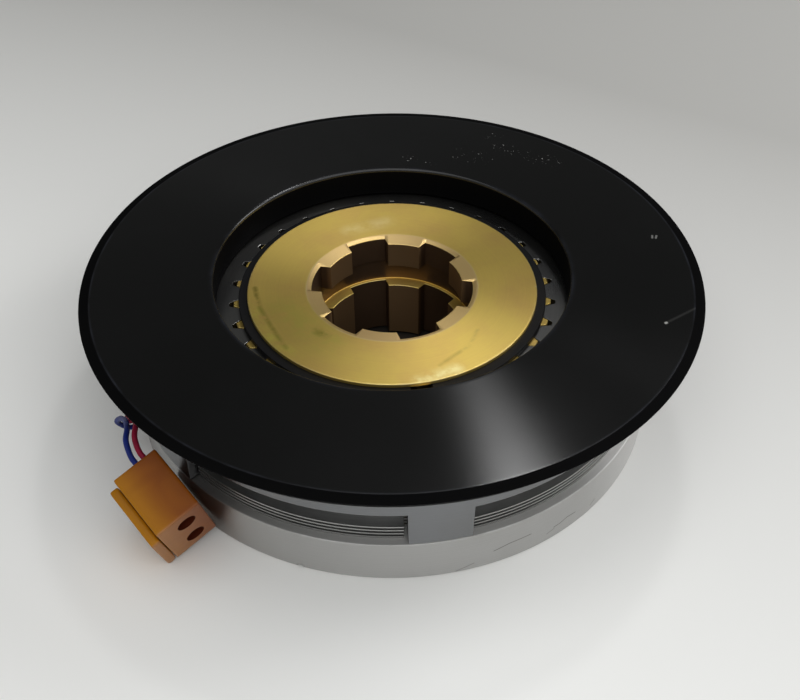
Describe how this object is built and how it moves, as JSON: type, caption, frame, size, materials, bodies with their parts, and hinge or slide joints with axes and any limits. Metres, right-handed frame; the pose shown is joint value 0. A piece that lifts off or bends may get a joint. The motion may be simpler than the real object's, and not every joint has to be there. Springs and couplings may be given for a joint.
{
  "type": "wet multi-plate electromagnetic clutch",
  "caption": "Round electromagnetic multi-plate clutch with a black drive flange, a bronze splined hub, a fingered plate carrier, a steel magnet body and a terminal block on leads.",
  "frame": {"origin": "centre of the magnet body's back face, on the clutch's axis, at the bottom of the clutch", "axes": "+Z along the clutch's axis, from the magnet's back face to the drive flange; the terminal block lies between -X and -Y"},
  "size_m": [0.3, 0.3, 0.074],
  "materials": {
    "ground_steel": "ground, light scratches",
    "armature_steel": "dark, oiled",
    "dark_steel": "phosphated spring steel",
    "bearing_steel": "ground bearing steel",
    "plate_steel": "ground",
    "lined_plate": "sintered facing",
    "bronze": "turned face, stained",
    "cage_brass": "satin",
    "black_oxide": "black oxide, satin",
    "coil_copper": "enamelled copper wire",
    "bobbin_plastic": "moulded",
    "seal_resin": "cast resin",
    "amber_plastic": "moulded, slightly translucent",
    "black_rubber": "moulded",
    "blue_cover": "extruded lead cover",
    "red_cover": "extruded lead cover"
  },
  "bodies": {
    "stator": {"magnet_yoke": "ground_steel", "coil_bobbin": "bobbin_plastic", "coil_winding": "coil_copper", "coil_seal_ring": "seal_resin", "bearing_outer_race": "bearing_steel", "bearing_circlip": "dark_steel", "terminal_block": "amber_plastic", "block_back_plate": "amber_plastic", "lead_grommet": "black_rubber", "blue_lead": "blue_cover", "red_lead": "red_cover"},
    "ball_cage": {"bearing_balls_and_cage": "cage_brass"},
    "rotor": {"splined_hub": "bronze", "bearing_inner_race": "bearing_steel", "hub_circlip": "dark_steel", "armature_retaining_ring": "dark_steel"},
    "armature": {"armature_plate": "armature_steel"},
    "carrier": {"drive_flange": "black_oxide", "finger_carrier": "ground_steel"},
    "outer_1": {"outer_plate_1": "plate_steel"},
    "inner_1": {"inner_plate_1": "lined_plate"},
    "outer_2": {"outer_plate_2": "plate_steel"},
    "inner_2": {"inner_plate_2": "lined_plate"},
    "outer_3": {"outer_plate_3": "plate_steel"},
    "inner_3": {"inner_plate_3": "lined_plate"},
    "outer_4": {"outer_plate_4": "plate_steel"}
  },
  "joints": [
    {"name": "hub_spin", "type": "hinge", "parent": "stator", "child": "rotor", "pos_m": [0, 0, 0.0126], "axis": [0, 0, 1], "continuous": true},
    {"name": "cage_spin", "type": "hinge", "parent": "stator", "child": "ball_cage", "pos_m": [0, 0, 0.0126], "axis": [0, 0, 1], "continuous": true},
    {"name": "carrier_spin", "type": "hinge", "parent": "stator", "child": "carrier", "pos_m": [0, 0, 0.066], "axis": [0, 0, 1], "continuous": true},
    {"name": "armature_slide", "type": "slide", "parent": "rotor", "child": "armature", "axis": [0, 0, -1], "range_m": [0, 0.0012]},
    {"name": "outer_1_slide", "type": "slide", "parent": "carrier", "child": "outer_1", "axis": [0, 0, -1], "range_m": [0, 0.00012]},
    {"name": "inner_1_slide", "type": "slide", "parent": "rotor", "child": "inner_1", "axis": [0, 0, -1], "range_m": [0, 0.00024]},
    {"name": "outer_2_slide", "type": "slide", "parent": "carrier", "child": "outer_2", "axis": [0, 0, -1], "range_m": [0, 0.00036]},
    {"name": "inner_2_slide", "type": "slide", "parent": "rotor", "child": "inner_2", "axis": [0, 0, -1], "range_m": [0, 0.00048]},
    {"name": "outer_3_slide", "type": "slide", "parent": "carrier", "child": "outer_3", "axis": [0, 0, -1], "range_m": [0, 0.0006]},
    {"name": "inner_3_slide", "type": "slide", "parent": "rotor", "child": "inner_3", "axis": [0, 0, -1], "range_m": [0, 0.00072]},
    {"name": "outer_4_slide", "type": "slide", "parent": "carrier", "child": "outer_4", "axis": [0, 0, -1], "range_m": [0, 0.00084]}
  ],
  "couplings": [
    {"joint": "cage_spin", "follows": "hub_spin", "ratio": 0.44},
    {"joint": "outer_1_slide", "follows": "armature_slide", "ratio": 0.1},
    {"joint": "inner_1_slide", "follows": "armature_slide", "ratio": 0.2},
    {"joint": "outer_2_slide", "follows": "armature_slide", "ratio": 0.3},
    {"joint": "inner_2_slide", "follows": "armature_slide", "ratio": 0.4},
    {"joint": "outer_3_slide", "follows": "armature_slide", "ratio": 0.5},
    {"joint": "inner_3_slide", "follows": "armature_slide", "ratio": 0.6},
    {"joint": "outer_4_slide", "follows": "armature_slide", "ratio": 0.7}
  ]
}
